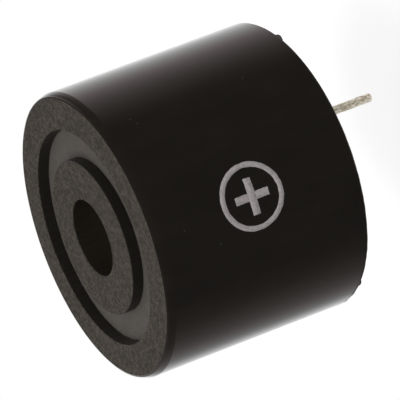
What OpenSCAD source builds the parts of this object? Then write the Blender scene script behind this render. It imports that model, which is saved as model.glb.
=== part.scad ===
// Self-driven piezo buzzer for through-hole mounting.
// A black moulded cup holds a glued piezo diaphragm behind a sound port, and a
// small oscillator board whose solder side is sealed with black resin.
// Frame: the origin is the middle of the seating plane, which the tips of the
// rear stand-offs touch. +Z runs along the axis to the sound face, and the two
// terminal pins lie on the X axis and point down.

/* [Body] */
// Height from the stand-off tips to the sound face
total_h = 18; // [18:0.1:21]
// Diameter of the open rear rim
rear_d = 24; // [24:0.1:27]
// Radius that the mould draft takes off between rear rim and front chamfer
draft = 0.24; // [0:0.01:0.35]
// Thickness of the wall that carries the sound port
face_t = 2; // [1.6:0.1:2.4]
// Length of the front chamfer along the axis
chamfer_h = 0.52; // [0.1:0.01:0.8]
// Width of the front chamfer across the face
chamfer_w = 0.22; // [0.1:0.01:0.6]
// Width of the shallow bevel between chamfer and sound face
bevel_w = 0.16; // [0.1:0.01:0.6]
// Depth of that bevel below the sound face
bevel_h = 0.08; // [0.02:0.01:0.3]
// Thickness of the skirt around the resin
rear_wall = 1.1; // [0.9:0.05:1.3]
// Height of the stand-off pips above the rear rim
standoff_h = 0.3; // [0.2:0.05:0.5]
// Diameter of a stand-off pip at the rim
standoff_d = 1.1; // [0.8:0.05:1.1]
// Angle of the first stand-off pip from the positive pin
standoff_turn = 33.5; // [0:0.5:60]

/* [Sound face] */
// Diameter of the sound port
port_d = 6.3; // [4:0.1:8]
// Length of the collar that carries the port on into the air chamber
collar_h = 1; // [0.2:0.1:1]
// Wall of that collar
collar_wall = 0.8; // [0.5:0.1:1.2]
// Diameter of the raised boss around the port
boss_d = 12.7; // [10:0.1:13.5]
// Diameter of the ring groove at the face
groove_d = 17.7; // [15:0.1:19]
// Depth of the ring groove
groove_depth = 0.95; // [0.3:0.05:1.1]
// Radius that the draft takes off at the floor of the groove
groove_draft = 0.1; // [0:0.02:0.2]

/* [Diaphragm] */
// Diameter of the brass plate
plate_d = 20.2; // [19.6:0.1:20.4]
// Thickness of the brass plate
plate_t = 0.2; // [0.1:0.05:0.3]
// Diameter of the piezo ceramic disc
ceramic_d = 14; // [13.5:0.1:14.6]
// Thickness of the piezo ceramic disc
ceramic_t = 0.2; // [0.1:0.05:0.3]
// Diameter of the silvered area on the ceramic
electrode_d = 13; // [12.5:0.1:13.2]
// Width of the feedback tongue in the silvered area
tongue_w = 2.4; // [2:0.1:3]
// Diameter of the air chamber between plate and sound face
chamber_d = 18.4; // [17.8:0.1:18.6]
// Depth of that air chamber
chamber_h = 1.6; // [1.2:0.1:2]

/* [Board] */
// Thickness of the circuit board
board_t = 1.2; // [1:0.1:1.4]
// Height of the board's solder side above the seating plane
board_z = 4.4; // [4.2:0.1:4.6]
// Depth of the resin surface below the rear rim
resin_sink = 0.6; // [0.4:0.05:0.8]

/* [Terminals] */
// Diameter of the free part of a terminal pin
pin_d = 0.7; // [0.6:0.05:0.75]
// Diameter of the shank that the resin holds
shank_d = 1.1; // [1.1:0.05:1.3]
// Distance between the two pins
pin_pitch = 15; // [14.6:0.1:15.4]
// Length of a pin below the seating plane
pin_reach = 5.45; // [3:0.05:12]

/* [Hidden] */
$fn = 96;
SMALL_FN = 32;
EPS = 0.01;

rear_r = rear_d / 2;
front_r = rear_r - draft;
bevel_r = front_r - chamfer_w;
bevel_z = total_h - bevel_h;
face_r = bevel_r - bevel_w;
rim_z = standoff_h;
rear_bore_r = rear_r - rear_wall;
front_bore_r = rear_bore_r - 0.5;
chamber_r = chamber_d / 2;
face_in_z = total_h - face_t;
seat_z = face_in_z - chamber_h;
port_r = port_d / 2;
collar_r = port_r + collar_wall;
collar_z = face_in_z - collar_h;
boss_r = boss_d / 2;
groove_r = groove_d / 2;
groove_z = total_h - groove_depth;
standoff_count = 3;
standoff_inset = 0.03;
standoff_r = rear_r - standoff_inset - standoff_d / 2;
standoff_tip = 0.92;

plate_z = seat_z - plate_t;
ceramic_z = plate_z - ceramic_t;
electrode_t = 0.05;
electrode_z = ceramic_z - electrode_t;
tongue_gap = 0.5;
tongue_y = -2.2;
bead_w = 0.7;
bead_h = 0.9;

board_top = board_z + board_t;
board_r = rear_bore_r - 0.2;
resin_z = rim_z + resin_sink;
meniscus_w = 1.4;
meniscus_h = 0.3;
meniscus_steps = 6;

pin_x = pin_pitch / 2;
pin_tip = 0.15;
shank_z = resin_z - 0.1;
pin_head_d = 1.9;
pin_head_h = 0.5;

// Solder: cones on the board's rear, domes on the diaphragm
lead_end_z = board_z - 1.1;
cone_h = 0.9;
cone_flare = 1;
leg_flare = 0.7;
dome_r = 0.9;
dome_h = 0.6;
socket_end = 0.15;
straight_z = plate_z - 0.95;

// Round leads of the axial parts and of the capacitor
lead_d = 0.5;
lead_hole_d = 0.8;
lead_bend = 0.6;
lead_span = 7.5;
axial_z = board_top + 1;

// Axial parts lie in rows along X, and these are their Y places
load_resistor_y = -7.4;
base_resistor_y = -5;
diode_y = -2.6;
feedback_resistor_y = 0.2;
resistor_len = 3.4;
diode_len = 3.8;

transistor_at = [-4.2, 5];
transistor_d = 4.7;
transistor_flat = 1.3;
transistor_h = 4.6;
leg_w = 0.45;
leg_pitch = 1.27;
leg_rise = 1.8;

capacitor_at = [-0.9, 8.2];
capacitor_r = 2.1;
capacitor_t = 1.8;
capacitor_pitch = 2.54;
capacitor_z = board_top + capacitor_r + 0.3;

inductor_at = [3.7, 4.9];
drum_r = 3.2;
drum_post_r = 1.6;
drum_flange = 1;
drum_h = 6;
coil_r = 2.9;
inductor_pitch = 4;
inductor_pin_d = 0.6;

// Insulated lead wires between the diaphragm and the board.
// Each route starts in its solder dome and ends in its board hole,
// and runs straight out of the dome before it bends.
wire_r = 0.3;
wire_hole_d = 0.8;
wire_sides = 8;
wire_steps = 4;
wire_end_z = board_z - 0.5;
plate_dot = [-5.4, -6.3];
drive_dot = [3.6, -2.4];
feedback_dot = [0, -5];
plate_hole = [-6.4, -5.6];
drive_hole = [6.6, -4.4];
feedback_hole = [5.9, -6.6];
plate_route = [
    at_z(plate_dot, plate_z - socket_end), at_z(plate_dot, straight_z), at_z(plate_dot, seat_z - 1.7),
    [-4.6, -5.2, 11.2], [-5.6, -4.2, 9.8], [-6.6, -4.9, 8.4],
    at_z(plate_hole, board_top + 1), at_z(plate_hole, board_z), at_z(plate_hole, wire_end_z)
];
drive_route = [
    at_z(drive_dot, electrode_z - socket_end), at_z(drive_dot, straight_z), at_z(drive_dot, seat_z - 2),
    [4.6, -1.4, 11.2], [6.2, -1.9, 10.2], [7.2, -3.4, 9],
    at_z(drive_hole, board_top + 1.4), at_z(drive_hole, board_z), at_z(drive_hole, wire_end_z)
];
feedback_route = [
    at_z(feedback_dot, electrode_z - socket_end), at_z(feedback_dot, straight_z),
    at_z(feedback_dot, seat_z - 2), [0.8, -6.6, 11.4], [2.8, -7.4, 10.6], [5, -7.6, 9.2],
    at_z(feedback_hole, board_top + 1.4), at_z(feedback_hole, board_z),
    at_z(feedback_hole, wire_end_z)
];

// Places of the board's holes, by kind
pin_spots = [[pin_x, 0], [-pin_x, 0]];
wire_spots = [plate_hole, drive_hole, feedback_hole];
axial_rows = [load_resistor_y, base_resistor_y, diode_y, feedback_resistor_y];
axial_spots = [for (y = axial_rows, s = [-1, 1]) [s * lead_span / 2, y]];
capacitor_spots = [for (s = [-1, 1]) capacitor_at + [s * capacitor_pitch / 2, 0]];
inductor_spots = [for (s = [-1, 1]) inductor_at + [s * inductor_pitch / 2, 0]];
leg_spots = [for (s = [-1, 0, 1]) transistor_at + [s * leg_pitch, 0]];
round_lead_spots = concat(axial_spots, capacitor_spots);

BLACK_PLASTIC = "#1b1b1e";
BRASS = "#c9a352";
CERAMIC = "#d9cfb4";
SILVER = "#d7d8d6";
SILICONE = "#e4e4df";
BOARD_BROWN = "#8a5a2b";
TIN = "#c8c6c0";
SOLDER = "#b4b5b4";
EPOXY = "#26262a";
RESISTOR_TAN = "#d1b384";
DIODE_AMBER = "#c2662d";
CAPACITOR_TAN = "#c98b3c";
FERRITE = "#3d3d40";
COPPER = "#b5693b";
RESIN = "#141416";

// ---- Helpers ----

function at_z(spot, z) = [spot[0], spot[1], z];

// A point on the smooth curve from b to c, with a and d as its neighbours
function curve_point(a, b, c, d, t) =
    0.5 * (2 * b + (c - a) * t + (2 * a - 5 * b + 4 * c - d) * t * t
        + (3 * b - a - 3 * c + d) * t * t * t);

// Every point of a smooth curve through a route
function smooth_route(route, steps) = [
    for (i = [0 : len(route) - 2], s = [0 : steps - 1])
        curve_point(route[max(i - 1, 0)], route[i], route[i + 1],
            route[min(i + 2, len(route) - 1)], s / steps),
    route[len(route) - 1]
];

function unit(v) = v / norm(v);

// The ring of a tube's corners around point i of a path
function ring(path, i, r, sides) =
    let (
        ahead = path[min(i + 1, len(path) - 1)],
        behind = path[max(i - 1, 0)],
        along = unit(ahead - behind),
        side = unit(cross(along, [0.3, 1, 0])),
        up = cross(side, along)
    )
    [for (k = [0 : sides - 1])
        path[i] + r * (cos(360 * k / sides) * side + sin(360 * k / sides) * up)];

module tube(route, r, sides, steps) {
    path = smooth_route(route, steps);
    rings = len(path);
    corners = [for (i = [0 : rings - 1]) each ring(path, i, r, sides)];
    walls = [
        for (i = [0 : rings - 2], k = [0 : sides - 1])
            let (a = i * sides + k, b = i * sides + (k + 1) % sides)
            [a, b, b + sides, a + sides]
    ];
    first = [for (k = [sides - 1 : -1 : 0]) k];
    last = [for (k = [0 : sides - 1]) (rings - 1) * sides + k];
    polyhedron(points = corners, faces = concat([first], walls, [last]));
}

// Round bar from one height up to another
module bar(spot, d, z0, z1) {
    translate([spot[0], spot[1], z0])
        cylinder(d = d, h = z1 - z0, $fn = SMALL_FN);
}

// Outer form of a solder cone under the board, around a lead
module solder_cone(spot, d, flare = cone_flare) {
    translate([spot[0], spot[1], board_z - cone_h])
        cylinder(d1 = d + 0.2, d2 = d + flare, h = cone_h, $fn = SMALL_FN);
}

// Solder dome that hangs from a face at height z, with a socket for a wire
module solder_dome(spot, z) {
    ball_r = (dome_r * dome_r + dome_h * dome_h) / (2 * dome_h);
    translate([spot[0], spot[1], z])
        difference() {
            intersection() {
                translate([0, 0, ball_r - dome_h])
                    sphere(r = ball_r, $fn = SMALL_FN);
                translate([0, 0, -dome_h])
                    cylinder(r = 2 * dome_r, h = dome_h, $fn = SMALL_FN);
            }
            translate([0, 0, -dome_h - EPS])
                cylinder(r = wire_r, h = dome_h + EPS - socket_end, $fn = SMALL_FN);
        }
}

// Two bent leads of an axial part whose body is body_len long
module axial_leads(y, body_len) {
    reach = lead_span / 2;
    for (s = [0, 1])
        translate([0, y, 0])
            mirror([s, 0, 0]) {
                translate([body_len / 2, 0, axial_z])
                    rotate([0, 90, 0])
                        cylinder(d = lead_d, h = reach - lead_bend - body_len / 2, $fn = SMALL_FN);
                translate([reach - lead_bend, 0, axial_z - lead_bend])
                    rotate([90, 0, 0])
                        rotate_extrude(angle = 90, $fn = SMALL_FN)
                            translate([lead_bend, 0])
                                circle(d = lead_d, $fn = SMALL_FN);
                bar([reach, 0], lead_d, lead_end_z, axial_z - lead_bend);
            }
}

// Resistor body with swollen ends, lying along X
module resistor(y) {
    half = resistor_len / 2;
    color(RESISTOR_TAN)
        translate([0, y, axial_z])
            rotate([0, 90, 0])
                rotate_extrude($fn = SMALL_FN)
                    polygon([
                        [0, -half], [0.55, -half], [0.88, -half + 0.25], [0.88, -half + 0.8],
                        [0.76, -half + 1.1], [0.76, half - 1.1], [0.88, half - 0.8],
                        [0.88, half - 0.25], [0.55, half], [0, half]
                    ]);
}

// Tongue of the feedback electrode, grown by a margin all round
module tongue(margin) {
    translate([0, tongue_y])
        circle(d = tongue_w + 2 * margin, $fn = SMALL_FN);
    translate([-tongue_w / 2 - margin, -electrode_d])
        square([tongue_w + 2 * margin, electrode_d + tongue_y]);
}

// Terminal pin: head on the board, shank in the resin, thinner free end
module terminal_pin(spot) {
    r = pin_d / 2;
    color(TIN)
        translate([spot[0], spot[1], 0])
            rotate_extrude($fn = SMALL_FN)
                polygon([
                    [0, -pin_reach], [r - pin_tip, -pin_reach], [r, -pin_reach + pin_tip],
                    [r, shank_z], [shank_d / 2, shank_z], [shank_d / 2, board_top],
                    [pin_head_d / 2, board_top], [pin_head_d / 2, board_top + pin_head_h],
                    [0, board_top + pin_head_h]
                ]);
}

// ---- Body ----

// One moulded cup: sound face, groove, boss, port, skirt, shoulder and pips
module housing() {
    color(BLACK_PLASTIC) {
        rotate_extrude()
            polygon([
                [port_r, collar_z], [port_r, total_h], [boss_r, total_h], [boss_r, groove_z],
                [groove_r - groove_draft, groove_z], [groove_r, total_h], [face_r, total_h],
                [bevel_r, bevel_z], [front_r, bevel_z - chamfer_h], [rear_r, rim_z],
                [rear_bore_r, rim_z], [rear_bore_r, board_top], [front_bore_r, board_top],
                [front_bore_r, seat_z], [chamber_r, seat_z], [chamber_r, face_in_z],
                [collar_r, face_in_z], [collar_r, collar_z]
            ]);
        for (i = [0 : standoff_count - 1])
            rotate([0, 0, standoff_turn + i * 360 / standoff_count])
                translate([standoff_r, 0, 0])
                    cylinder(d1 = standoff_d * standoff_tip, d2 = standoff_d, h = rim_z + EPS,
                        $fn = SMALL_FN);
    }
}

// Black resin over the solder side, drawn up at the wall by its meniscus
module potting_resin() {
    color(RESIN)
        difference() {
            rotate_extrude()
                polygon(concat(
                    [[0, board_z], [0, resin_z]],
                    [for (i = [0 : meniscus_steps])
                        let (a = 90 * i / meniscus_steps)
                        [rear_bore_r - meniscus_w + meniscus_w * sin(a),
                            resin_z - meniscus_h * (1 - cos(a))]],
                    [[rear_bore_r, board_z]]
                ));
            for (spot = pin_spots) {
                bar(spot, shank_d, shank_z - 1, board_z + EPS);
                solder_cone(spot, shank_d);
            }
            for (spot = round_lead_spots) {
                bar(spot, lead_d, lead_end_z, board_z);
                solder_cone(spot, lead_d);
            }
            for (spot = inductor_spots) {
                bar(spot, inductor_pin_d, lead_end_z, board_z);
                solder_cone(spot, inductor_pin_d);
            }
            for (spot = leg_spots) {
                leg(spot, board_z);
                solder_cone(spot, leg_w, leg_flare);
            }
            for (spot = wire_spots)
                solder_cone(spot, 2 * wire_r);
        }
}

// ---- Diaphragm ----

module diaphragm_plate() {
    color(BRASS)
        translate([0, 0, plate_z])
            cylinder(d = plate_d, h = plate_t);
}

module piezo_ceramic() {
    color(CERAMIC)
        translate([0, 0, ceramic_z])
            cylinder(d = ceramic_d, h = ceramic_t);
}

module drive_electrode() {
    color(SILVER)
        translate([0, 0, electrode_z])
            linear_extrude(electrode_t)
                difference() {
                    circle(d = electrode_d);
                    tongue(tongue_gap);
                }
}

module feedback_electrode() {
    color(SILVER)
        translate([0, 0, electrode_z])
            linear_extrude(electrode_t)
                intersection() {
                    circle(d = electrode_d);
                    tongue(0);
                }
}

// Silicone that fills the gap round the plate and holds its edge
module silicone_bead() {
    plate_r = plate_d / 2;
    color(SILICONE)
        rotate_extrude()
            polygon([
                [plate_r, seat_z], [front_bore_r, seat_z], [front_bore_r, plate_z - bead_h],
                [plate_r - bead_w, plate_z], [plate_r, plate_z]
            ]);
}

module diaphragm_solder_dots() {
    color(SOLDER) {
        solder_dome(plate_dot, plate_z);
        solder_dome(drive_dot, electrode_z);
        solder_dome(feedback_dot, electrode_z);
    }
}

// ---- Board and terminals ----

module circuit_board() {
    color(BOARD_BROWN)
        difference() {
            translate([0, 0, board_z])
                cylinder(r = board_r, h = board_t);
            for (spot = pin_spots)
                bar(spot, shank_d + 0.1, board_z - 1, board_top + 1);
            for (spot = concat(round_lead_spots, inductor_spots, leg_spots))
                bar(spot, lead_hole_d, board_z - 1, board_top + 1);
            for (spot = wire_spots)
                bar(spot, wire_hole_d, board_z - 1, board_top + 1);
        }
}

module terminal_pin_positive() {
    terminal_pin(pin_spots[0]);
}

module terminal_pin_negative() {
    terminal_pin(pin_spots[1]);
}

module pin_solder_joints() {
    color(SOLDER)
        for (spot = pin_spots)
            difference() {
                solder_cone(spot, shank_d);
                bar(spot, shank_d, board_z - 2, board_z + 1);
            }
}

// ---- Circuit ----

// One flat leg of the transistor, from its cut end up to height z1
module leg(spot, z1) {
    translate([spot[0] - leg_w / 2, spot[1] - leg_w / 2, lead_end_z])
        cube([leg_w, leg_w, z1 - lead_end_z]);
}

module transistor_body() {
    color(EPOXY)
        translate([transistor_at[0], transistor_at[1], board_top + leg_rise])
            intersection() {
                cylinder(d = transistor_d, h = transistor_h);
                translate([-transistor_d, -transistor_d, 0])
                    cube([2 * transistor_d, transistor_d + transistor_flat, transistor_h]);
            }
}

module transistor_legs() {
    color(TIN)
        for (spot = leg_spots)
            leg(spot, board_top + leg_rise);
}

module load_resistor() {
    resistor(load_resistor_y);
}

module load_resistor_leads() {
    color(TIN)
        axial_leads(load_resistor_y, resistor_len);
}

module base_resistor() {
    resistor(base_resistor_y);
}

module base_resistor_leads() {
    color(TIN)
        axial_leads(base_resistor_y, resistor_len);
}

module feedback_resistor() {
    resistor(feedback_resistor_y);
}

module feedback_resistor_leads() {
    color(TIN)
        axial_leads(feedback_resistor_y, resistor_len);
}

// Glass diode with rounded ends
module diode_body() {
    half = diode_len / 2;
    r = 0.9;
    color(DIODE_AMBER)
        translate([0, diode_y, axial_z])
            rotate([0, 90, 0])
                rotate_extrude($fn = SMALL_FN)
                    polygon([
                        [0, -half], [0.5, -half], [r, -half + 0.4],
                        [r, half - 0.4], [0.5, half], [0, half]
                    ]);
}

module diode_leads() {
    color(TIN)
        axial_leads(diode_y, diode_len);
}

// Dipped ceramic disc that stands on its edge
module capacitor_body() {
    edge_r = capacitor_t / 2;
    color(CAPACITOR_TAN)
        difference() {
            translate([capacitor_at[0], capacitor_at[1], capacitor_z])
                rotate([90, 0, 0]) {
                    cylinder(r = capacitor_r - edge_r, h = capacitor_t, center = true,
                        $fn = SMALL_FN);
                    rotate_extrude($fn = SMALL_FN)
                        translate([capacitor_r - edge_r, 0])
                            circle(r = edge_r, $fn = SMALL_FN);
                }
            for (spot = capacitor_spots)
                bar(spot, lead_d, board_top, capacitor_z - 0.6);
        }
}

module capacitor_leads() {
    color(TIN)
        for (spot = capacitor_spots)
            bar(spot, lead_d, lead_end_z, capacitor_z - 0.6);
}

// Ferrite drum with a socket for each of its two pins
module inductor_core() {
    color(FERRITE)
        difference() {
            translate([inductor_at[0], inductor_at[1], board_top])
                rotate_extrude()
                    polygon([
                        [0, 0], [drum_r, 0], [drum_r, drum_flange], [drum_post_r, drum_flange],
                        [drum_post_r, drum_h - drum_flange], [drum_r, drum_h - drum_flange],
                        [drum_r, drum_h], [0, drum_h]
                    ]);
            for (spot = inductor_spots)
                bar(spot, inductor_pin_d, board_top - 1, board_top + drum_flange / 2);
        }
}

module inductor_winding() {
    color(COPPER)
        translate([inductor_at[0], inductor_at[1], board_top + drum_flange])
            difference() {
                cylinder(r = coil_r, h = drum_h - 2 * drum_flange);
                translate([0, 0, -1])
                    cylinder(r = drum_post_r, h = drum_h);
            }
}

module inductor_pins() {
    color(TIN)
        for (spot = inductor_spots)
            bar(spot, inductor_pin_d, lead_end_z, board_top + drum_flange / 2);
}

module component_solder_joints() {
    color(SOLDER) {
        for (spot = round_lead_spots)
            difference() {
                solder_cone(spot, lead_d);
                bar(spot, lead_d, board_z - 2, board_z + 1);
            }
        for (spot = inductor_spots)
            difference() {
                solder_cone(spot, inductor_pin_d);
                bar(spot, inductor_pin_d, board_z - 2, board_z + 1);
            }
        for (spot = leg_spots)
            difference() {
                solder_cone(spot, leg_w, leg_flare);
                leg(spot, board_z + 1);
            }
    }
}

// ---- Lead wires ----

module plate_wire() {
    color("black")
        tube(plate_route, wire_r, wire_sides, wire_steps);
}

module drive_wire() {
    color("firebrick")
        tube(drive_route, wire_r, wire_sides, wire_steps);
}

module feedback_wire() {
    color("royalblue")
        tube(feedback_route, wire_r, wire_sides, wire_steps);
}

module wire_solder_joints() {
    color(SOLDER)
        for (spot = wire_spots)
            difference() {
                solder_cone(spot, 2 * wire_r);
                bar(spot, 2 * wire_r, wire_end_z, board_z + 1);
            }
}

housing();
diaphragm_plate();
piezo_ceramic();
drive_electrode();
feedback_electrode();
silicone_bead();
circuit_board();
terminal_pin_positive();
terminal_pin_negative();
pin_solder_joints();
transistor_body();
transistor_legs();
load_resistor();
load_resistor_leads();
base_resistor();
base_resistor_leads();
feedback_resistor();
feedback_resistor_leads();
diode_body();
diode_leads();
capacitor_body();
capacitor_leads();
inductor_core();
inductor_winding();
inductor_pins();
component_solder_joints();
plate_wire();
drive_wire();
feedback_wire();
wire_solder_joints();
diaphragm_solder_dots();
potting_resin();
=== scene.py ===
import math

import bmesh
import bpy
from mathutils import Euler, Matrix, Vector, noise


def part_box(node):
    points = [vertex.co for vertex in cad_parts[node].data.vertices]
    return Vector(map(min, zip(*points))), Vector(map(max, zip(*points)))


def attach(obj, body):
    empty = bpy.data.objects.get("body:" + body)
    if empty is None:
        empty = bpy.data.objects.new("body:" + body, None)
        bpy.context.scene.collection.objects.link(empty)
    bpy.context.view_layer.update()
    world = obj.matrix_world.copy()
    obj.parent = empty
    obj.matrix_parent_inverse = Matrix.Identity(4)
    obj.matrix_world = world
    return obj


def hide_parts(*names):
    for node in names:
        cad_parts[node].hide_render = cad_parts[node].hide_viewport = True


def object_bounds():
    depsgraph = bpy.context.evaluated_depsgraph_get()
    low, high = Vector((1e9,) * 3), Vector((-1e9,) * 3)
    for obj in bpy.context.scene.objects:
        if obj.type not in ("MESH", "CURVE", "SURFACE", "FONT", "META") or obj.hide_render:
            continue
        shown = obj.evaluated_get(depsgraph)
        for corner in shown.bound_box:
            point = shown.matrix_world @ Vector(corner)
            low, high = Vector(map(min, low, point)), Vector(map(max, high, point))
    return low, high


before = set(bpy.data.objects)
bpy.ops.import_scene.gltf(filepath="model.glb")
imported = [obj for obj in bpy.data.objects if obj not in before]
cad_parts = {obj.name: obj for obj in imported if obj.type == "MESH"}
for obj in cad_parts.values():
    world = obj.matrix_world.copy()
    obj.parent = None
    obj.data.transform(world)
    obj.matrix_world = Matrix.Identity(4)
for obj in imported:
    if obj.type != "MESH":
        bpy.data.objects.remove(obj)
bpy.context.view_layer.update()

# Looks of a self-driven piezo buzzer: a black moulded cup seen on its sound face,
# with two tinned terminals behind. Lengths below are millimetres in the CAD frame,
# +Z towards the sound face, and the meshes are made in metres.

MM = 0.001
ROOT = "root"
SCENE = bpy.context.scene


def span(node):
    """Lowest and highest corner of a CAD node, in millimetres."""
    low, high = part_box(node)
    return low / MM, high / MM


# ---- Sizes: from the frame where it gives them, else the moulded form's own ----

CUP_LOW, CUP_HIGH = span("housing")
BOARD_TOP_Z = span("circuit_board")[1].z
SEAT_Z = span("diaphragm_plate")[1].z
RESIN_HIGH = span("potting_resin")[1]
FRONT_BORE_R = span("silicone_bead")[1].x

TOP_Z = CUP_HIGH.z
REAR_R = CUP_HIGH.x
PIP_H = 0.3
RIM_Z = CUP_LOW.z + PIP_H
DRAFT = 0.24
CHAMFER_H = 0.52
CHAMFER_W = 0.22
CHAMFER_CROWN = 0.022
BEVEL_H = 0.08
BEVEL_W = 0.16
FRONT_R = REAR_R - DRAFT
BEVEL_R = FRONT_R - CHAMFER_W
BEVEL_Z = TOP_Z - BEVEL_H
SIDE_END_Z = BEVEL_Z - CHAMFER_H
FACE_R = BEVEL_R - BEVEL_W
REAR_BORE_R = RESIN_HIGH.x
CHAMBER_R = 9.2
FACE_T = 2
FACE_IN_Z = TOP_Z - FACE_T
PORT_R = 3.15
COLLAR_WALL = 0.8
COLLAR_H = 1
COLLAR_R = PORT_R + COLLAR_WALL
COLLAR_Z = FACE_IN_Z - COLLAR_H
BOSS_R = 6.35
GROOVE_R = 8.85
GROOVE_DRAFT = 0.1
GROOVE_DEPTH = 0.95
GROOVE_Z = TOP_Z - GROOVE_DEPTH
PIP_R = 0.55
PIP_TIP_R = 0.506
PIP_INSET = 0.03
PIP_CIRCLE_R = REAR_R - PIP_INSET - PIP_R
PIP_TURNS = [math.radians(33.5 + 120 * i) for i in range(3)]

RESIN_SINK = 0.6
RESIN_Z = RIM_Z + RESIN_SINK
MENISCUS_W = 1.4
MENISCUS_H = 0.3
PINS = ("terminal_pin_positive", "terminal_pin_negative")

# ---- Node helpers ----


def fresh_material(name):
    """A material with an empty tree, its shader and its output joined."""
    material = bpy.data.materials.new(name)
    material.use_nodes = True
    tree = material.node_tree
    tree.nodes.clear()
    shader = tree.nodes.new("ShaderNodeBsdfPrincipled")
    output = tree.nodes.new("ShaderNodeOutputMaterial")
    tree.links.new(shader.outputs["BSDF"], output.inputs["Surface"])
    return material, tree, shader


def node(tree, kind, inputs=None, **settings):
    """Adds a node. An input's value is a number, a colour or another node's socket."""
    made = tree.nodes.new("ShaderNode" + kind)
    for name, value in settings.items():
        setattr(made, name, value)
    for name, value in (inputs or {}).items():
        socket = made.inputs[name]
        if isinstance(value, bpy.types.NodeSocket):
            tree.links.new(value, socket)
        elif socket.type == "RGBA" and len(value) == 3:
            socket.default_value = (*value, 1)
        else:
            socket.default_value = value
    return made


def mm_coords(tree, stretch=(1, 1, 1)):
    """The point on the piece in millimetres, each axis times its stretch."""
    place = node(tree, "TexCoord").outputs["Object"]
    scale = [s / MM for s in stretch]
    return node(tree, "VectorMath", {0: place, 1: scale}, operation="MULTIPLY").outputs[0]


def noise_value(tree, where, scale, detail=3.0, rough=0.55):
    """Fractal noise from 0 to 1."""
    inputs = {"Vector": where, "Scale": scale, "Detail": detail, "Roughness": rough}
    return node(tree, "TexNoise", inputs).outputs["Fac"]


def ramp(tree, value, *stops):
    """A colour ramp. A stop is (place, colour or grey)."""
    made = node(tree, "ValToRGB", {"Fac": value})
    points = made.color_ramp.elements
    while len(points) < len(stops):
        points.new(1)
    for point, (place, colour) in zip(points, stops):
        point.position = place
        point.color = (*colour, 1) if hasattr(colour, "__len__") else (colour,) * 3 + (1,)
    return made.outputs["Color"]


def math_node(tree, operation, a, b=0.0):
    """One arithmetic step on two values."""
    return node(tree, "Math", {0: a, 1: b}, operation=operation).outputs[0]


def mix_level(tree, factor, a, b):
    """A value from a to b by the factor."""
    return node(tree, "Mix", {"Factor": factor, "A": a, "B": b}).outputs["Result"]


def eased(tree, value, low, high, start=0.0, end=1.0):
    """Goes smoothly from start to end while the value goes from low to high."""
    inputs = {"Value": value, "From Min": low, "From Max": high, "To Min": start,
              "To Max": end}
    return node(tree, "MapRange", inputs, interpolation_type="SMOOTHSTEP").outputs["Result"]


def mix_colour(tree, factor, a, b, blend="MIX"):
    """Two colours mixed or multiplied. Each may be a socket or a fixed colour."""
    made = node(tree, "Mix", data_type="RGBA", blend_type=blend)
    sockets = [s for s in made.inputs if s.enabled]
    for socket, value in zip(sockets, (factor, a, b)):
        if isinstance(value, bpy.types.NodeSocket):
            tree.links.new(value, socket)
        elif socket.type == "RGBA":
            socket.default_value = (*value, 1)
        else:
            socket.default_value = value
    return next(s for s in made.outputs if s.enabled)


def bumped(tree, height, depth_mm, strength=1.0, below=None):
    """A bump of that depth, on top of another bump if one is given."""
    inputs = {"Height": height, "Distance": depth_mm * MM, "Strength": strength}
    if below is not None:
        inputs["Normal"] = below
    return node(tree, "Bump", inputs).outputs["Normal"]


def specks(tree, where, scale, size, share):
    """1 inside small round spots, in that share of the Voronoi cells, and 0 elsewhere."""
    cells = node(tree, "TexVoronoi", {"Vector": where, "Scale": scale, "Randomness": 1.0})
    near = math_node(tree, "LESS_THAN", cells.outputs["Distance"], size)
    chosen = node(tree, "SeparateColor", {"Color": cells.outputs["Color"]}).outputs[0]
    return math_node(tree, "MULTIPLY", near, math_node(tree, "LESS_THAN", chosen, share))


def connect(tree, shader, **sockets):
    """Links or sets the shader's sockets. Base_Color stands for Base Color, and so on."""
    for name, value in sockets.items():
        socket = shader.inputs[name.replace("_", " ")]
        if isinstance(value, bpy.types.NodeSocket):
            tree.links.new(value, socket)
        elif socket.type == "RGBA":
            socket.default_value = (*value, 1)
        else:
            socket.default_value = value


# ---- Materials of the outside ----

BLACK = (0.0082, 0.0069, 0.0052)
# Factor on BLACK for the walls: the plastic's own black, lifted as painted light that makes up
# for the shade in the groove and the port
WALL_LEVEL_WITH_PAINTED_LIGHT = 1.8


def tint(colour, gain):
    """The colour made lighter or darker."""
    return tuple(c * gain for c in colour)


def gloss_plastic():
    """Polished mould wall: deep black with a faint flow pattern and a little dust."""
    material, tree, shader = fresh_material("gloss_black_plastic")
    where = mm_coords(tree)
    flow = noise_value(tree, mm_coords(tree, (1, 1, 0.35)), 0.5, 4)
    base = ramp(tree, flow, (0.35, tint(BLACK, 1.0)), (0.7, tint(BLACK, 1.4)))
    dust = specks(tree, where, 0.9, 0.06, 0.25)
    base = mix_colour(tree, math_node(tree, "MULTIPLY", dust, 0.35), base, (0.09, 0.085, 0.08))
    polish = noise_value(tree, where, 2.2, 5)
    rough = ramp(tree, polish, (0.3, 0.11), (0.75, 0.17))
    ripple = noise_value(tree, where, 0.22, 2)
    normal = bumped(tree, ripple, 0.003, 0.5)
    connect(tree, shader, Base_Color=base, Roughness=rough, Normal=normal, IOR=1.5)
    return material


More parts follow.
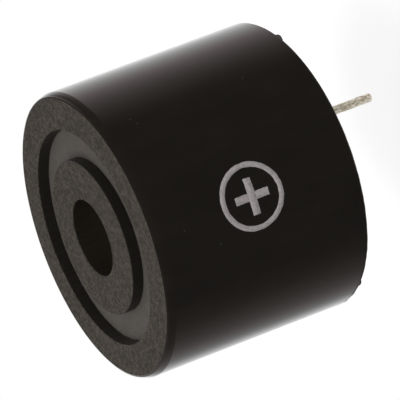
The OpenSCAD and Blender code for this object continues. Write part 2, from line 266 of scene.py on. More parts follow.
def spark_eroded_plastic():
    """Fine matt grain of a spark-eroded mould face, with lighter and darker specks."""
    material, tree, shader = fresh_material("spark_eroded_black_plastic")
    where = mm_coords(tree)
    grain = noise_value(tree, where, 3.2, 3, 0.7)
    cloud = noise_value(tree, where, 0.8, 3)
    base = ramp(tree, grain, (0.36, tint(BLACK, 3.2)), (0.5, tint(BLACK, 6.1)),
                (0.64, tint(BLACK, 10.0)))
    base = mix_colour(tree, 0.5, base, ramp(tree, cloud, (0.3, 0.75), (0.7, 1.0)), "MULTIPLY")
    pale = specks(tree, where, 1.6, 0.11, 0.12)
    base = mix_colour(tree, math_node(tree, "MULTIPLY", pale, 0.5), base, (0.10, 0.10, 0.095))
    rough = ramp(tree, grain, (0.3, 0.62), (0.7, 0.78))
    normal = bumped(tree, noise_value(tree, where, 6, 3, 0.7), 0.03, 0.8)
    connect(tree, shader, Base_Color=base, Roughness=rough, Normal=normal, IOR=1.5)
    return material


def groove_plastic():
    """Floor of the ring groove: smoother and a shade lighter than the face."""
    material, tree, shader = fresh_material("groove_floor_plastic")
    where = mm_coords(tree)
    cloud = noise_value(tree, where, 1.2, 4)
    base = ramp(tree, cloud, (0.3, (0.090, 0.080, 0.071)), (0.7, (0.107, 0.095, 0.086)))
    dark = specks(tree, where, 1.1, 0.08, 0.06)
    base = mix_colour(tree, dark, base, tint(BLACK, 1.2))
    rough = ramp(tree, noise_value(tree, where, 6, 3), (0.3, 0.70), (0.7, 0.80))
    normal = bumped(tree, cloud, 0.01, 0.4)
    connect(tree, shader, Base_Color=base, Roughness=rough, Normal=normal, IOR=1.5)
    return material


def wall_plastic():
    """Drafted walls of the groove, the port and the inside, with drag lines along Z; painted
    light lifts their black.
    """
    material, tree, shader = fresh_material("wall_black_plastic_with_painted_light")
    lines = noise_value(tree, mm_coords(tree, (4, 4, 0.3)), 1.5, 3)
    # Black lifted as painted light for the shaded recesses, with the drag lines' random tone
    base = ramp(tree, lines, (0.3, tint(BLACK, WALL_LEVEL_WITH_PAINTED_LIGHT * 0.8)),
                (0.7, tint(BLACK, WALL_LEVEL_WITH_PAINTED_LIGHT * 1.2)))
    rough = ramp(tree, lines, (0.3, 0.38), (0.7, 0.5))
    normal = bumped(tree, lines, 0.01, 0.5)
    connect(tree, shader, Base_Color=base, Roughness=rough, Normal=normal, IOR=1.5)
    return material


def resin_material():
    """Cast black epoxy: glossy with a soft ripple, faint haze and pinholes."""
    material, tree, shader = fresh_material("black_potting_resin")
    where = mm_coords(tree)
    haze = noise_value(tree, where, 0.7, 5)
    base = ramp(tree, haze, (0.3, tint(BLACK, 0.9)), (0.75, tint(BLACK, 1.9)))
    pinholes = specks(tree, where, 1.3, 0.07, 0.1)
    rough = ramp(tree, noise_value(tree, where, 1.6, 5), (0.3, 0.16), (0.75, 0.34))
    normal = bumped(tree, noise_value(tree, where, 0.9, 2), 0.03, 0.5)
    normal = bumped(tree, math_node(tree, "SUBTRACT", 1.0, pinholes), 0.02, 0.6, normal)
    connect(tree, shader, Base_Color=base, Roughness=rough, Normal=normal, IOR=1.53)
    return material


def tinned_metal():
    """Hot-tinned wire: warm grey, lumpy along its length, with dull and bright spots."""
    material, tree, shader = fresh_material("tinned_metal")
    where = mm_coords(tree)
    blotch = noise_value(tree, mm_coords(tree, (1, 1, 0.5)), 5, 5, 0.65)
    base = ramp(tree, blotch, (0.34, (0.30, 0.24, 0.16)), (0.5, (0.59, 0.53, 0.41)),
                (0.64, (0.92, 0.89, 0.79)))
    pits = specks(tree, where, 6, 0.2, 0.2)
    base = mix_colour(tree, math_node(tree, "MULTIPLY", pits, 0.8), base, (0.24, 0.19, 0.12))
    rough = ramp(tree, blotch, (0.3, 0.40), (0.7, 0.24))
    fine = noise_value(tree, mm_coords(tree, (1, 1, 0.35)), 9, 4, 0.7)
    normal = bumped(tree, fine, 0.03, 0.4)
    connect(tree, shader, Base_Color=base, Metallic=0.65, Roughness=rough, Normal=normal)
    return material


def ink():
    """Pad-printed ink, pale grey with thin places and a dry surface."""
    material, tree, shader = fresh_material("pale_grey_ink")
    where = mm_coords(tree)
    thin = noise_value(tree, where, 4.5, 5, 0.7)
    base = ramp(tree, thin, (0.28, (0.21, 0.19, 0.19)), (0.45, (0.36, 0.325, 0.33)),
                (0.7, (0.46, 0.425, 0.43)))
    normal = bumped(tree, noise_value(tree, where, 12, 3), 0.008, 0.5)
    connect(tree, shader, Base_Color=base, Roughness=0.62, Normal=normal)
    return material


# ---- Materials of the inside ----


def grained(name, dark, light, rough, scale=3.0, stretch=(1, 1, 1), depth=0.01, **more):
    """A surface whose colour and roughness run between two ends over one grain."""
    material, tree, shader = fresh_material(name)
    where = mm_coords(tree, stretch)
    grain = noise_value(tree, where, scale, 5, 0.6)
    base = ramp(tree, grain, (0.3, dark), (0.7, light))
    roughness = ramp(tree, grain, (0.3, rough[0]), (0.7, rough[1]))
    normal = bumped(tree, noise_value(tree, where, scale * 2.5, 3), depth, 0.6)
    connect(tree, shader, Base_Color=base, Roughness=roughness, Normal=normal, **more)
    return material


def banded(name, coat, bands, half, rough):
    """A coated body along X, centred on x = 0, with colour bands. A band is its middle as a
    share of the half length, its width in mm and its colour."""
    material, tree, shader = fresh_material(name)
    where = mm_coords(tree)
    along = node(tree, "SeparateXYZ", {"Vector": where}).outputs["X"]
    mottled = noise_value(tree, where, 4, 4)
    base = ramp(tree, mottled, (0.3, tint(coat, 0.85)), (0.7, tint(coat, 1.1)))
    for middle, width, colour in bands:
        off = math_node(tree, "ABSOLUTE", math_node(tree, "SUBTRACT", along, middle * half))
        on = math_node(tree, "LESS_THAN", off, width / 2)
        base = mix_colour(tree, on, base, colour)
    roughness = ramp(tree, mottled, (0.3, rough), (0.7, rough + 0.12))
    normal = bumped(tree, mottled, 0.02, 0.4)
    connect(tree, shader, Base_Color=base, Roughness=roughness, Normal=normal, Coat_Weight=0.3)
    return material


# ---- Mesh helpers ----

FILLET_STEP = math.radians(18)
QUARTER = [math.radians(a) for a in range(0, 91, 18)]


def circle(radius, z, segments):
    """Points of a level circle round Z."""
    turns = [2 * math.pi * k / segments for k in range(segments)]
    return [(radius * math.cos(a), radius * math.sin(a), z) for a in turns]


def fillet_points(before, corner, after, radius):
    """The arc that rounds a corner of an outline, as (radius, height) points."""
    a, p, b = (Vector(q) for q in (before, corner, after))
    to_a, to_b = (a - p).normalized(), (b - p).normalized()
    turn = math.pi - to_a.angle(to_b)
    if radius <= 0 or turn < 1e-4:
        return [tuple(p)]
    reach = min(radius * math.tan(turn / 2), 0.45 * (a - p).length, 0.45 * (b - p).length)
    size = reach / math.tan(turn / 2)
    centre = p + (to_a + to_b).normalized() * math.hypot(reach, size)
    start, end = p + to_a * reach - centre, p + to_b * reach - centre
    steps = max(2, math.ceil(turn / FILLET_STEP))
    sweep = start.angle_signed(end)
    return [tuple(centre + Matrix.Rotation(-sweep * i / steps, 2) @ start)
            for i in range(steps + 1)]


def rounded_outline(corners):
    """Rounds a closed outline of (r, z, fillet, finish) and returns (r, z, finish) points."""
    points = []
    for i, (r, z, fillet, finish) in enumerate(corners):
        before = corners[i - 1][:2]
        after = corners[(i + 1) % len(corners)][:2]
        arc = fillet_points(before, (r, z), after, fillet)
        points += [(x, y, finish) for x, y in arc]
    return points


def lathe(outline, segments):
    """Turns a closed outline of (r, z, finish) round Z. Returns vertices, faces, finishes."""
    verts, faces, finishes = [], [], []
    count = len(outline)
    for k in range(segments):
        a = 2 * math.pi * k / segments
        verts += [(r * math.cos(a), r * math.sin(a), z) for r, z, _ in outline]
    for k in range(segments):
        here, there = k * count, (k + 1) % segments * count
        for i in range(count):
            j = (i + 1) % count
            faces.append((here + i, there + i, there + j, here + j))
            finishes.append(outline[i][2])
    return verts, faces, finishes


def turned_bar(outline, segments):
    """Turns an open outline that starts and ends on the axis into a closed solid."""
    first, last = outline[0], outline[-1]
    inner = outline[1:-1]
    verts = [(0, 0, first[1])]
    for r, z in inner:
        verts += circle(r, z, segments)
    verts.append((0, 0, last[1]))
    faces = []
    for k in range(segments):
        n = (k + 1) % segments
        faces.append((0, 1 + n, 1 + k))
        for i in range(len(inner) - 1):
            here, up = 1 + i * segments, 1 + (i + 1) * segments
            faces.append((here + k, here + n, up + n, up + k))
        top = 1 + (len(inner) - 1) * segments
        faces.append((top + k, top + n, len(verts) - 1))
    return verts, faces


def weighted_normals(mesh):
    """Flat faces stay flat beside their small fillets: a normal follows the larger face."""
    sums = [Vector() for _ in mesh.vertices]
    for face in mesh.polygons:
        for v in face.vertices:
            sums[v] += face.normal * (face.area / MM ** 2)
    mesh.normals_split_custom_set_from_vertices([n.normalized() for n in sums])


def outward(mesh):
    """Turns every face outward."""
    shape = bmesh.new()
    shape.from_mesh(mesh)
    bmesh.ops.recalc_face_normals(shape, faces=shape.faces)
    shape.to_mesh(mesh)
    shape.free()


def make_object(name, verts, faces, materials, finishes=None, closed=True):
    """A smooth-shaded mesh object, from vertices in millimetres. An open mesh keeps the
    way its faces are wound, and a closed one has them turned outward."""
    mesh = bpy.data.meshes.new(name)
    mesh.from_pydata([Vector(v) * MM for v in verts], [], faces)
    for material in materials:
        mesh.materials.append(material)
    if finishes:
        mesh.polygons.foreach_set("material_index", finishes)
    mesh.polygons.foreach_set("use_smooth", [True] * len(mesh.polygons))
    obj = bpy.data.objects.new(name, mesh)
    SCENE.collection.objects.link(obj)
    if closed:
        outward(mesh)
    return obj


def mount(piece, slot, *nodes):
    """The piece rides on the one body and stands for nodes, whose CAD parts are hidden. The slot
    is not used.
    """
    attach(piece, ROOT)
    if nodes:
        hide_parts(*nodes)
    return piece


# ---- Moulded cup ----

GLOSS, MATT, GROOVE, WALL = range(4)
CUP_SEGMENTS = 480
FLASH_H = 0.055
FLASH_TURN = math.radians(-64)
FLASH_BAND = 0.3
FLASH_END_Z = RIM_Z + 0.35
PIP_SHOULDER = 0.09
PIP_ROOT = 0.2
PIP_SEGMENTS = 40


def side_radius(z):
    """Outer radius of the drafted side at a height."""
    share = (z - RIM_Z) / (SIDE_END_Z - RIM_Z)
    return REAR_R - DRAFT * share


def cup_outline():
    """Section of the cup as (radius, height, fillet, finish), from the port's inner edge
    outward and back inside."""
    return rounded_outline([
        (PORT_R, COLLAR_Z, 0.05, WALL),
        (PORT_R, TOP_Z, 0.08, MATT),
        (BOSS_R, TOP_Z, 0.07, WALL),
        (BOSS_R, GROOVE_Z, 0.04, GROOVE),
        (GROOVE_R - GROOVE_DRAFT, GROOVE_Z, 0.04, WALL),
        (GROOVE_R, TOP_Z, 0.06, MATT),
        (FACE_R, TOP_Z, 0.03, GLOSS),
        (BEVEL_R, BEVEL_Z, 0.07, GLOSS),
        ((BEVEL_R + FRONT_R) / 2 + CHAMFER_CROWN, (BEVEL_Z + SIDE_END_Z) / 2, 1.5, GLOSS),
        (FRONT_R, SIDE_END_Z, 0.06, GLOSS),
        (side_radius(FLASH_END_Z), FLASH_END_Z, 0.0, GLOSS),
        (REAR_R, RIM_Z, 0.12, MATT),
        (REAR_BORE_R, RIM_Z, 0.08, WALL),
        (REAR_BORE_R, BOARD_TOP_Z, 0.0, WALL),
        (FRONT_BORE_R, BOARD_TOP_Z, 0.0, WALL),
        (FRONT_BORE_R, SEAT_Z, 0.0, WALL),
        (CHAMBER_R, SEAT_Z, 0.05, WALL),
        (CHAMBER_R, FACE_IN_Z, 0.2, WALL),
        (COLLAR_R, FACE_IN_Z, 0.2, WALL),
        (COLLAR_R, COLLAR_Z, 0.05, WALL),
    ])


def add_flash(verts):
    """A trace of flash on the outer edge of the rear rim, uneven and on one side."""
    moved = []
    for x, y, z in verts:
        r = math.hypot(x, y)
        near = 1 - min(1, math.hypot(r - REAR_R, z - RIM_Z) / FLASH_BAND)
        wave = noise.noise(Vector((x * 1.1, y * 1.1, 3))) + 0.7 * noise.noise(
            Vector((x * 3.1, y * 3.1, 9)))
        share = max(0.0, math.cos(math.atan2(y, x) - FLASH_TURN))
        grow = 1 + FLASH_H * near * share * max(0.0, 0.7 + wave) / r
        moved.append((x * grow, y * grow, z))
    return moved


def pip_outline():
    """Section of a stand-off pip, from its domed tip to a root inside the rim."""
    flat_r = PIP_TIP_R - PIP_SHOULDER
    shoulder = [(flat_r + PIP_SHOULDER * math.sin(a), PIP_SHOULDER * (1 - math.cos(a)))
                for a in QUARTER]
    root = [(PIP_R, PIP_H), (PIP_R, PIP_H + PIP_ROOT), (0, PIP_H + PIP_ROOT)]
    return [(0, 0)] + shoulder + root


def build_cup(materials):
    """The moulded cup with its three pips as one solid. It stands for the housing."""
    verts, faces, finishes = lathe(cup_outline(), CUP_SEGMENTS)
    cup = make_object("cup", add_flash(verts), faces, materials, finishes)
    pip_verts, pip_faces = turned_bar(pip_outline(), PIP_SEGMENTS)
    for i, turn in enumerate(PIP_TURNS):
        place = Vector((math.cos(turn), math.sin(turn), 0)) * PIP_CIRCLE_R
        pip = make_object(f"pip_{i}", [place + Vector(v) for v in pip_verts], pip_faces,
                          [materials[MATT]])
        join_solids(cup, pip)
    weighted_normals(cup.data)
    return mount(cup, "housing_plastic", "housing")


def join_solids(target, other):
    """Adds another solid to the target and removes the other object."""
    modifier = target.modifiers.new("union", "BOOLEAN")
    modifier.operation = "UNION"
    modifier.solver = "EXACT"
    modifier.object = other
    bpy.context.view_layer.update()
    graph = bpy.context.evaluated_depsgraph_get()
    mesh = bpy.data.meshes.new_from_object(target.evaluated_get(graph))
    target.modifiers.remove(modifier)
    old = target.data
    target.data = mesh
    bpy.data.meshes.remove(old)
    bpy.data.objects.remove(other)
    mesh.name = target.name


# ---- Resin, terminals and print ----

RESIN_SEGMENTS = 240
RESIN_STEP = 0.12
PIN_CLIMB_W = 0.45
PIN_CLIMB_H = 0.22
RIPPLE_H = 0.035
RIPPLE_SCALE = 0.35


def resin_height(x, y, r, pin_spots):
    """Surface of the resin: drawn up at the wall and round the pins, with a soft ripple."""
    into_wall = max(0.0, (r - REAR_BORE_R + MENISCUS_W) / MENISCUS_W)
    z = RESIN_Z - MENISCUS_H * (1 - math.sqrt(max(0.0, 1 - into_wall ** 2)))
    for px, py, pin_r in pin_spots:
        away = max(0.0, math.hypot(x - px, y - py) - pin_r)
        z -= PIN_CLIMB_H * math.exp(-((away / PIN_CLIMB_W) ** 1.2) * 2)
    calm = 1 - min(1.0, into_wall)
    ripple = noise.noise(Vector((x * RIPPLE_SCALE, y * RIPPLE_SCALE, 5)))
    return z + RIPPLE_H * calm * ripple


def build_resin(material, pin_spots):
    """A closed disc whose rear side follows resin_height."""
    rings = round(REAR_BORE_R / RESIN_STEP)
    verts = [(0, 0, resin_height(0, 0, 0, pin_spots))]
    for i in range(1, rings + 1):
        r = REAR_BORE_R * i / rings
        for x, y, _ in circle(r, 0, RESIN_SEGMENTS):
            verts.append((x, y, resin_height(x, y, r, pin_spots)))
    verts += circle(REAR_BORE_R, RESIN_HIGH.z, RESIN_SEGMENTS)
    verts.append((0, 0, RESIN_HIGH.z))
    faces = []
    for k in range(RESIN_SEGMENTS):
        n = (k + 1) % RESIN_SEGMENTS
        faces.append((0, 1 + k, 1 + n))
        for i in range(rings):
            here, out = 1 + i * RESIN_SEGMENTS, 1 + (i + 1) * RESIN_SEGMENTS
            faces.append((here + k, here + n, out + n, out + k))
        back = 1 + rings * RESIN_SEGMENTS
        faces.append((back + k, back + n, len(verts) - 1))
    resin = make_object("resin_seal", verts, faces, [material])
    weighted_normals(resin.data)
    return mount(resin, "resin", "potting_resin")


PIN_SEGMENTS = 48
PIN_STEP = 0.06
PIN_HEAD_H = 0.5
SHANK_R = 0.55
SHANK_END = RESIN_Z - 0.1
PIN_R = 0.35
TIP_R = 0.12
TIP_DISH = 0.02
TIP_FLAT_INSET = 0.03
LUMP_FADE = 0.4
LUMP = 0.05
DENT = 0.03


def pin_outline(tip_z, top_z, head_r):
    """Section of a terminal from its rounded cut end up to its head on the board."""
    points = [(0, tip_z + TIP_DISH), (PIN_R - TIP_R - TIP_FLAT_INSET, tip_z)]
    points += [(PIN_R - TIP_R + TIP_R * math.sin(a), tip_z + TIP_R * (1 - math.cos(a)))
               for a in QUARTER]
    rows = round((SHANK_END - tip_z - TIP_R) / PIN_STEP)
    points += [(PIN_R, tip_z + TIP_R + (SHANK_END - tip_z - TIP_R) * i / rows)
               for i in range(1, rows + 1)]
    points += [(SHANK_R, SHANK_END), (SHANK_R, top_z - PIN_HEAD_H), (head_r, top_z - PIN_HEAD_H),
               (head_r, top_z), (0, top_z)]
    return points


def build_pin(node_name, material):
    """A terminal whose tinned free end is slightly lumpy."""
    low, high = span(node_name)
    centre_x = (low.x + high.x) / 2
    outline = pin_outline(low.z, high.z, (high.x - low.x) / 2)
    verts, faces = turned_bar(outline, PIN_SEGMENTS)
    shaped = []
    for x, y, z in verts:
        free = max(0.0, min(1.0, (SHANK_END - z) / LUMP_FADE))
        lump = noise.noise(Vector((x * 5 + centre_x, y * 5, z * 2.2)))
        dent = noise.noise(Vector((x * 14 + centre_x, y * 14, z * 7)))
        grow = 1 + free * (LUMP * lump + DENT * dent)
        shaped.append((centre_x + x * grow, y * grow, z))
    pin = make_object(node_name.replace("terminal_pin", "tinned_terminal"), shaped, faces,
                      [material])
    return mount(pin, "tinned_wire", node_name)


# The print is a plain plus sign in a ring, a generic polarity mark.
MARK_TURN = math.radians(-27)
MARK_Z = 9.4
MARK_RING_R = 2.45
MARK_LINE = 0.42
PLUS_REACH = 1.45
PLUS_LINE = 0.62
INK_T = 0.02
INK_SUNK = 0.01
RING_STEPS = 120
BAR_STEPS = 24
WANDER = 0.03
WANDER_SCALE = 2.5


def on_side(s, t, lift):
    """A point of the print: s along the circumference and t along Z, from its middle."""
    z = MARK_Z + t
    r = side_radius(z)
    turn = MARK_TURN + s / r
    return ((r + lift) * math.cos(turn), (r + lift) * math.sin(turn), z)


def strip(points_a, points_b, closed):
    """A thin closed film between two rows of (s, t) points."""
    rows = [[on_side(s, t, lift) for s, t in row]
            for lift in (-INK_SUNK, INK_T - INK_SUNK) for row in (points_a, points_b)]
    count = len(points_a)
    verts = [v for row in rows for v in row]
    faces = []
    steps = count if closed else count - 1
    for i in range(steps):
        j = (i + 1) % count
        under_a, under_b, over_a, over_b = (k * count for k in range(4))
        faces += [(under_a + i, under_b + i, under_b + j, under_a + j),
                  (over_a + i, over_a + j, over_b + j, over_b + i),
                  (under_a + i, under_a + j, over_a + j, over_a + i),
                  (under_b + i, over_b + i, over_b + j, under_b + j)]
    if not closed:
        for i in (0, count - 1):
            faces.append((i, count + i, 3 * count + i, 2 * count + i))
    return verts, faces


def ragged(s, t):
    """A small seeded wander of the print's outline."""
    here = Vector((s * WANDER_SCALE, t * WANDER_SCALE, 1))
    return (s + WANDER * noise.noise(here),
            t + WANDER * noise.noise(here + Vector((7, 3, 0))))


def ring_film(radius, line):
    """A ring of ink round the middle of the print."""
    turns = [2 * math.pi * k / RING_STEPS for k in range(RING_STEPS)]
    rows = [[ragged(r * math.cos(a), r * math.sin(a)) for a in turns]
            for r in (radius - line / 2, radius + line / 2)]
    return strip(*rows, closed=True)


def bar_film(start, end, line):
    """A straight bar of ink between two (s, t) points."""
    a, b = Vector(start), Vector(end)
    side = (b - a).normalized().orthogonal() * line / 2
    rows = [[ragged(*(a.lerp(b, i / BAR_STEPS) + sign * side)) for i in range(BAR_STEPS + 1)]
            for sign in (-1, 1)]
    return strip(*rows, closed=False)


def build_mark(material):
    """The plus is three bars, so that the films don't lie over each other."""
    films = [
        ring_film(MARK_RING_R, MARK_LINE),
        bar_film((-PLUS_REACH, 0), (PLUS_REACH, 0), PLUS_LINE),
        bar_film((0, -PLUS_REACH), (0, -PLUS_LINE / 2), PLUS_LINE),
        bar_film((0, PLUS_LINE / 2), (0, PLUS_REACH), PLUS_LINE),
    ]
    verts, faces = [], []
    for film_verts, film_faces in films:
        faces += [tuple(i + len(verts) for i in face) for face in film_faces]
        verts += film_verts
    return mount(make_object("polarity_mark", verts, faces, [material]), None)


# ---- Studio ----

# The floor is small and a little below the terminals, because a wider or nearer one
# is mirrored as a haze in the glossy side
FLOOR_GAP = 7.5
FLOOR_R = 27.0
FLOOR_GLOW = 0.76

# Light that falls on the object, and the levels that its gloss reflects. Directions
# are right, up and towards the camera, at the camera's place in the main view.
DIFFUSE_LEVEL = 0.58
ROOM_DARK = 0.105
SHEET_ABOVE = 1.25
SHEET_ABOVE_FALL = 1.35
SHEET_BELOW = 0.53
SHEET_BELOW_FALL = 2.0
SHEET_BELOW_REACH = 0.15
SHEET_CORE = 0.3
BESIDE_SHEET = 0.22
STRIP_MIDDLE = (-0.77, 0.352, -0.533)
STRIP_NORMAL = (-0.444, -0.894, 0.053)
STRIP_LEVEL = 2.3
WARM_ROOM = (1.0, 0.88, 0.87)

# A lamp's place and diameter in metres, and its power in watts
LAMPS = {
    "key": ((0.08, -0.10, 0.50), 0.45, 1.15),
    "fill": ((0.35, 0.30, 0.05), 0.45, 0.42),
}


def build_floor():
    """A pale disc below the terminals. It keeps the shadow and looks white otherwise."""
    rings, segments = 12, 96
    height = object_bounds()[0][2] / MM - FLOOR_GAP
    verts = [(0, 0, height)]
    for i in range(1, rings + 1):
        verts += circle(FLOOR_R * i / rings, height, segments)
    faces = []
    for k in range(segments):
        n = (k + 1) % segments
        faces.append((0, 1 + k, 1 + n))
        for i in range(rings - 1):
            here, out = 1 + i * segments, 1 + (i + 1) * segments
            faces.append((here + k, out + k, out + n, here + n))
    floor = make_object("floor", verts, faces, [floor_material()], closed=False)


def seen_directly(tree):
    """1 for camera, glossy and transmission rays, and 0 for the light that falls."""
    path = node(tree, "LightPath")
    seen = math_node(tree, "MAXIMUM", path.outputs["Is Camera Ray"],
                     path.outputs["Is Glossy Ray"])
    return math_node(tree, "MAXIMUM", seen, path.outputs["Is Transmission Ray"])


def floor_material():
    """A pale matt floor that is clear from below, so that it never hides the object."""
    material, tree, shader = fresh_material("pale_floor")
    cloud = noise_value(tree, mm_coords(tree), 0.05, 3)
    base = ramp(tree, cloud, (0.3, 0.40), (0.7, 0.42))
    glow = math_node(tree, "MULTIPLY", seen_directly(tree), FLOOR_GLOW)
    connect(tree, shader, Base_Color=base, Roughness=0.9, Specular_IOR_Level=0.0,
            Emission_Color=(1, 1, 1), Emission_Strength=glow)
    clear = node(tree, "BsdfTransparent")
    behind = node(tree, "NewGeometry").outputs["Backfacing"]
    mixed = node(tree, "MixShader", {0: behind, 1: shader.outputs[0], 2: clear.outputs[0]})
    output = next(n for n in tree.nodes if n.type == "OUTPUT_MATERIAL")
    tree.links.new(mixed.outputs[0], output.inputs["Surface"])
    return material


def reflected_level(tree, along):
    """What the gloss mirrors: a white sheet behind the object that fades towards the dark
    room in front and beside it, and one long strip box at the side."""
    away = along((0, 0, -1))
    upward = along((0, 1, 0))
    behind = math_node(tree, "MAXIMUM", away, 0.0)
    reach = math_node(tree, "MAXIMUM", math_node(tree, "ADD", away, SHEET_BELOW_REACH), 0.0)
    above = math_node(tree, "MULTIPLY", math_node(tree, "POWER", behind, SHEET_ABOVE_FALL),
                      SHEET_ABOVE)
    below = math_node(tree, "MULTIPLY", math_node(tree, "POWER", reach, SHEET_BELOW_FALL),
                      SHEET_BELOW)
    below = math_node(tree, "ADD", below, eased(tree, away, 0.80, 0.94, 0.0, SHEET_CORE))
    level = mix_level(tree, eased(tree, upward, -0.3, 0.3), below, above)

    sheet_edge = eased(tree, along((1, 0.15, 0)), -0.43, -0.2, 1.0, 0.0)
    beside = math_node(tree, "MULTIPLY", sheet_edge, eased(tree, upward, -0.25, -0.02))
    level = mix_level(tree, beside, level, math_node(tree, "MULTIPLY", behind, BESIDE_SHEET))

    off_strip = math_node(tree, "ABSOLUTE", along(STRIP_NORMAL))
    strip_width = eased(tree, off_strip, 0.05, 0.12, STRIP_LEVEL, 0.0)
    strip_length = eased(tree, along(STRIP_MIDDLE), 0.91, 0.97)
    level = math_node(tree, "ADD", level, math_node(tree, "MULTIPLY", strip_width, strip_length))
    return math_node(tree, "ADD", level, ROOM_DARK)


def build_world(camera_turn):
    """White where seen, a plain level for falling light, and the room for reflections."""
    world = bpy.data.worlds.new("studio")
    SCENE.world = world
    world.use_nodes = True
    tree = world.node_tree
    tree.nodes.clear()
    toward = node(tree, "TexCoord").outputs["Generated"]

    def along(axis):
        """How far a direction points along an axis of the main view."""
        turned = (camera_turn @ Vector(axis)).normalized()
        dot = node(tree, "VectorMath", {0: toward, 1: turned}, operation="DOT_PRODUCT")
        return dot.outputs["Value"]

    path = node(tree, "LightPath")
    mirror = math_node(tree, "MAXIMUM", path.outputs["Is Glossy Ray"],
                       path.outputs["Is Transmission Ray"])
    falling = mix_level(tree, mirror, DIFFUSE_LEVEL, reflected_level(tree, along))
    strength = mix_level(tree, path.outputs["Is Camera Ray"], falling, 1.0)
    warm = math_node(tree, "MULTIPLY", mirror,
                     eased(tree, along((0, 0, -1)), 0.60, 0.85, 1.0, 0.0))
    colour = mix_colour(tree, warm, (1, 1, 1), WARM_ROOM)
    background = node(tree, "Background", {"Color": colour, "Strength": strength})
    output = node(tree, "OutputWorld")
    tree.links.new(background.outputs[0], output.inputs["Surface"])


def add_lamp(name, place, size, power):
    """A large soft lamp that looks at the object."""
    data = bpy.data.lights.new(name, "AREA")
    data.shape = "DISK"
    data.size = size
    data.energy = power
    lamp = bpy.data.objects.new(name, data)
    lamp.location = place
    lamp.rotation_euler = (-Vector(place)).to_track_quat("-Z", "Y").to_euler()
    lamp.visible_glossy = False
    SCENE.collection.objects.link(lamp)


# ---- Camera: the photo's viewing angle on the part ----

CAMERA_AZIMUTH = math.radians(-20.63)
CAMERA_ELEVATION = math.radians(23.83)
CAMERA_ROLL = math.radians(-110.74)
CAMERA_DISTANCE = 210.92
CAMERA_AIM = Vector((-0.077, -0.178, 8.287))
CAMERA_LENS = 239.8


def build_camera():
    """Places the camera and returns its turn as a quaternion."""
    back = Vector((math.cos(CAMERA_ELEVATION) * math.cos(CAMERA_AZIMUTH),
                   math.cos(CAMERA_ELEVATION) * math.sin(CAMERA_AZIMUTH),
                   math.sin(CAMERA_ELEVATION)))
    level_turn = (-back).to_track_quat("-Z", "Y")
    turn = level_turn @ Euler((0, 0, CAMERA_ROLL)).to_quaternion()
    data = bpy.data.cameras.new("camera")
    data.lens = CAMERA_LENS
    data.sensor_width = 36
    data.clip_start = 0.01
    camera = bpy.data.objects.new("camera", data)
    camera.rotation_mode = "QUATERNION"
    camera.rotation_quaternion = turn
    camera.location = (CAMERA_AIM + back * CAMERA_DISTANCE) * MM
    SCENE.collection.objects.link(camera)
    SCENE.camera = camera
    return turn


# ---- Putting it together ----


# Lead wires: colour name, node, darker and lighter shade
INSULATION = (
    ("black", "plate_wire", (0.014, 0.014, 0.014), (0.03, 0.03, 0.03)),
    ("red", "drive_wire", (0.36, 0.02, 0.015), (0.50, 0.035, 0.025)),
    ("blue", "feedback_wire", (0.02, 0.06, 0.32), (0.035, 0.09, 0.46)),
)

# Colour codes of the resistors, read from the first band to the tolerance band
BROWN, BLACK_BAND, RED = (0.10, 0.035, 0.015), (0.012, 0.012, 0.012), (0.45, 0.02, 0.015)
ORANGE, YELLOW, VIOLET = (0.65, 0.18, 0.02), (0.65, 0.48, 0.03), (0.16, 0.05, 0.30)
GOLD = (0.45, 0.30, 0.08)
RESISTOR_COAT = (0.55, 0.42, 0.24)
RESISTOR_CODES = {
    "load_resistor": (BROWN, BLACK_BAND, RED),
    "base_resistor": (BROWN, BLACK_BAND, ORANGE),
    "feedback_resistor": (YELLOW, VIOLET, RED),
}
BAND_PLACES = (-0.68, -0.34, 0.0, 0.62)
BAND_W = 0.28
RESISTOR_HALF = 1.7
DIODE_HALF = 1.9


def dress(node_name, material):
    """Gives a CAD node its material."""
    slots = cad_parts[node_name].data.materials
    slots.clear()
    slots.append(material)


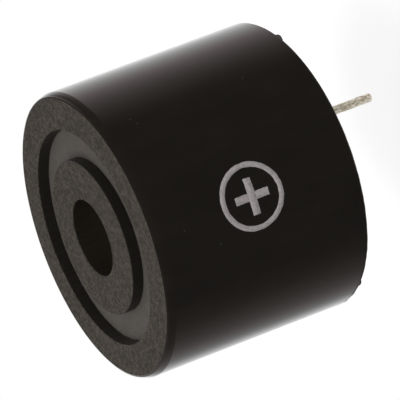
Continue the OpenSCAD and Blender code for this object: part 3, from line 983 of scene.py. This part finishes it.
def dress_inside(tin):
    """Finishes for the nodes behind the face. From outside only the plate shows, through
    the port."""
    solder = grained("solder", (0.42, 0.42, 0.42), (0.66, 0.66, 0.65), (0.22, 0.42), 2.5,
                     depth=0.02, Metallic=1.0)
    silver = grained("fired_silver", (0.58, 0.58, 0.56), (0.76, 0.76, 0.74), (0.34, 0.5), 6.0,
                     Metallic=0.9)
    inside = {
        "diaphragm_plate": grained("rolled_brass", (0.44, 0.35, 0.19), (0.58, 0.47, 0.27),
                                   (0.50, 0.65), 2.0, (0.3, 4, 4), Metallic=0.35),
        "piezo_ceramic": grained("fired_ceramic", (0.50, 0.45, 0.33), (0.64, 0.58, 0.45),
                                 (0.62, 0.78), 5.0),
        "drive_electrode": silver,
        "feedback_electrode": silver,
        "silicone_bead": grained("silicone", (0.66, 0.66, 0.62), (0.76, 0.76, 0.73),
                                 (0.36, 0.52), 1.5, depth=0.03, Subsurface_Weight=0.1),
        "circuit_board": grained("phenolic_board", (0.17, 0.075, 0.022), (0.30, 0.14, 0.045),
                                 (0.42, 0.58), 1.6, (1, 6, 1)),
        "transistor_body": grained("moulded_epoxy", (0.014, 0.014, 0.016),
                                   (0.028, 0.028, 0.032), (0.48, 0.62), 8.0),
        "diode_body": banded("glass_diode", (0.45, 0.12, 0.03),
                             [(0.6, 0.5, (0.02, 0.02, 0.02))], DIODE_HALF, 0.12),
        "capacitor_body": grained("dipped_capacitor", (0.42, 0.19, 0.045),
                                  (0.58, 0.29, 0.08), (0.34, 0.5), 3.0, depth=0.03),
        "inductor_core": grained("ferrite", (0.035, 0.035, 0.038), (0.07, 0.07, 0.075),
                                 (0.55, 0.72), 6.0, depth=0.02),
        "inductor_winding": grained("enamelled_copper", (0.42, 0.15, 0.055),
                                    (0.66, 0.28, 0.12), (0.2, 0.34), 1.2, (0.2, 0.2, 9),
                                    depth=0.05, Metallic=1.0),
    }
    for name, material in inside.items():
        dress(name, material)
    for colour, node_name, dark, light in INSULATION:
        dress(node_name, grained(colour + "_insulation", dark, light, (0.4, 0.55), 4.0))
    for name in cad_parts:
        if name.endswith(("_leads", "_legs", "inductor_pins")):
            dress(name, tin)
        if "solder" in name:
            dress(name, solder)
    for name, colours in RESISTOR_CODES.items():
        bands = [(at, BAND_W, colour) for at, colour in zip(BAND_PLACES, (*colours, GOLD))]
        dress(name, banded(name + "_coat", RESISTOR_COAT, bands, RESISTOR_HALF, 0.34))


def main():
    """Sets up the studio, dresses the CAD nodes and builds the visible pieces."""
    SCENE.view_settings.view_transform = "Standard"
    camera_turn = build_camera()
    build_world(camera_turn)
    build_floor()
    for name, (place, size, power) in LAMPS.items():
        add_lamp(name, place, size, power)

    tin = tinned_metal()
    dress_inside(tin)
    build_cup([gloss_plastic(), spark_eroded_plastic(), groove_plastic(), wall_plastic()])
    pin_spots = []
    for name in PINS:
        low, high = span(name)
        pin_spots.append(((low.x + high.x) / 2, 0.0, PIN_R))
        build_pin(name, tin)
    build_resin(resin_material(), pin_spots)
    build_mark(ink())


main()
